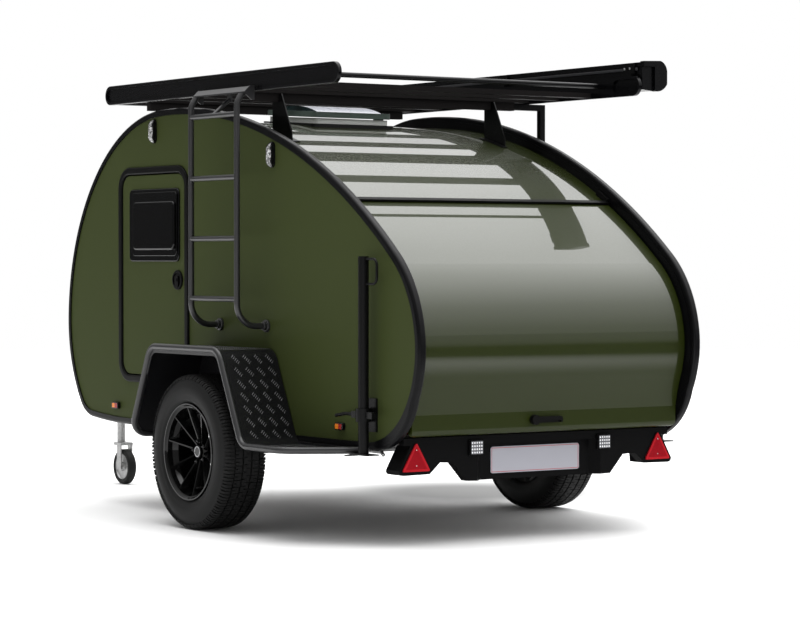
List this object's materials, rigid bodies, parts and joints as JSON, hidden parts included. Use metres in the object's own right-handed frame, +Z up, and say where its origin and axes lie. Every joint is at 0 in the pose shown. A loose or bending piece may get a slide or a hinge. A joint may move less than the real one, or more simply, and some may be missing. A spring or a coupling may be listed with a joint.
{
  "type": "teardrop trailer",
  "caption": "Single-axle teardrop travel trailer: rounded body, side doors, rear hatch, roof rack, ladder, side awning, drawbar, jockey wheel and prop stands.",
  "frame": {"origin": "middle of the trailer's box at ground level", "axes": "+X towards the coupling, the way it is towed; +Y to the left side; +Z up"},
  "size_m": [4.3595, 2.24, 2.254],
  "materials": {
    "olive_paint": "gloss",
    "black_powder": "satin",
    "black_plastic": "matte",
    "gloss_black": "gloss",
    "tyre_rubber": "matte",
    "galvanised": "matte",
    "cast_drum": "rough",
    "smoked_glass": "gloss",
    "dome_plastic": "gloss",
    "frame_white": "satin",
    "red_lens": "gloss",
    "clear_lens": "gloss",
    "amber_lens": "gloss",
    "plate_white": "satin",
    "interior_board": "satin",
    "floor_board": "matte",
    "alu_rail": "satin",
    "diamond_plate": "satin"
  },
  "bodies": {
    "trailer": {"roof_panel": "olive_paint", "front_panel": "olive_paint", "floor_panel": "floor_board", "hatch_hinge": "black_plastic", "bulkhead": "interior_board", "galley_unit": "interior_board", "door_frames": "black_plastic", "skylight_frame": "frame_white", "chassis_frame": "galvanised", "drawbar": "galvanised", "coupling": "galvanised", "axle": "galvanised", "bumper": "black_plastic", "number_plate": "plate_white", "rear_reflectors": "red_lens", "reversing_lamps": "clear_lens", "side_marker_lamps": "amber_lens", "oval_lamps": "clear_lens", "rack_sides": "alu_rail", "rack_slats": "alu_rail", "rack_crossbars": "black_powder", "rack_feet": "black_powder", "ladder": "black_powder", "ladder_rungs": "black_powder", "awning_cassette": "alu_rail", "awning_brackets": "black_powder", "prop_clamps": "black_powder", "jockey_tube": "galvanised", "side_panel_left": "olive_paint", "side_panel_right": "olive_paint", "body_trim_left": "black_plastic", "body_trim_right": "black_plastic", "fender_left": "diamond_plate", "fender_right": "diamond_plate", "fender_tube_left": "black_powder", "fender_tube_right": "black_powder"},
    "wheel_left": {"tyre_left": "tyre_rubber", "rim_left": "gloss_black", "hub_left": "cast_drum"},
    "wheel_right": {"tyre_right": "tyre_rubber", "rim_right": "gloss_black", "hub_right": "cast_drum"},
    "door_left": {"door_left": "olive_paint", "door_window_left": "smoked_glass", "door_lock_left": "black_plastic"},
    "door_right": {"door_right": "olive_paint", "door_window_right": "smoked_glass", "door_lock_right": "black_plastic"},
    "hatch": {"hatch": "olive_paint", "hatch_handle": "black_plastic"},
    "skylight_lid": {"skylight_lid": "dome_plastic"},
    "jockey_inner": {"jockey_inner_tube": "galvanised"},
    "jockey_fork": {"jockey_fork": "galvanised"},
    "jockey_wheel": {"jockey_rim": "galvanised", "jockey_tyre": "tyre_rubber"},
    "prop_stand_left": {"prop_stand_left": "black_powder"},
    "prop_stand_right": {"prop_stand_right": "black_powder"}
  },
  "joints": [
    {"name": "wheel_left_spin", "type": "hinge", "parent": "trailer", "child": "wheel_left", "pos_m": [-0.667, 0.988, 0.3705], "axis": [0, 1, 0], "continuous": true},
    {"name": "wheel_right_spin", "type": "hinge", "parent": "trailer", "child": "wheel_right", "pos_m": [-0.667, -0.988, 0.3705], "axis": [0, 1, 0], "continuous": true},
    {"name": "door_left_hinge", "type": "hinge", "parent": "trailer", "child": "door_left", "pos_m": [0.556, 0.803, 1.206], "axis": [0, 0, -1], "range_deg": [0, 100]},
    {"name": "door_right_hinge", "type": "hinge", "parent": "trailer", "child": "door_right", "pos_m": [0.556, -0.803, 1.206], "axis": [0, 0, 1], "range_deg": [0, 100]},
    {"name": "hatch_hinge", "type": "hinge", "parent": "trailer", "child": "hatch", "pos_m": [-1.54002, 0, 1.55301], "axis": [0, 1, 0], "range_deg": [0, 75]},
    {"name": "skylight_hinge", "type": "hinge", "parent": "trailer", "child": "skylight_lid", "pos_m": [0.055, 0, 2.026], "axis": [0, 1, 0], "range_deg": [0, 3]},
    {"name": "jockey_height", "type": "slide", "parent": "trailer", "child": "jockey_inner", "axis": [0, 0, 1], "range_m": [-0.06, 0.13]},
    {"name": "jockey_swivel", "type": "hinge", "parent": "jockey_inner", "child": "jockey_fork", "pos_m": [1.873, 0.1, 0.23], "axis": [0, 0, 1], "continuous": true},
    {"name": "jockey_wheel_spin", "type": "hinge", "parent": "jockey_fork", "child": "jockey_wheel", "pos_m": [1.833, 0.1, 0.1], "axis": [0, 1, 0], "continuous": true},
    {"name": "prop_stand_left_slide", "type": "slide", "parent": "trailer", "child": "prop_stand_left", "axis": [0, 0, -1], "range_m": [0, 0.39]},
    {"name": "prop_stand_right_slide", "type": "slide", "parent": "trailer", "child": "prop_stand_right", "axis": [0, 0, -1], "range_m": [0, 0.39]}
  ]
}
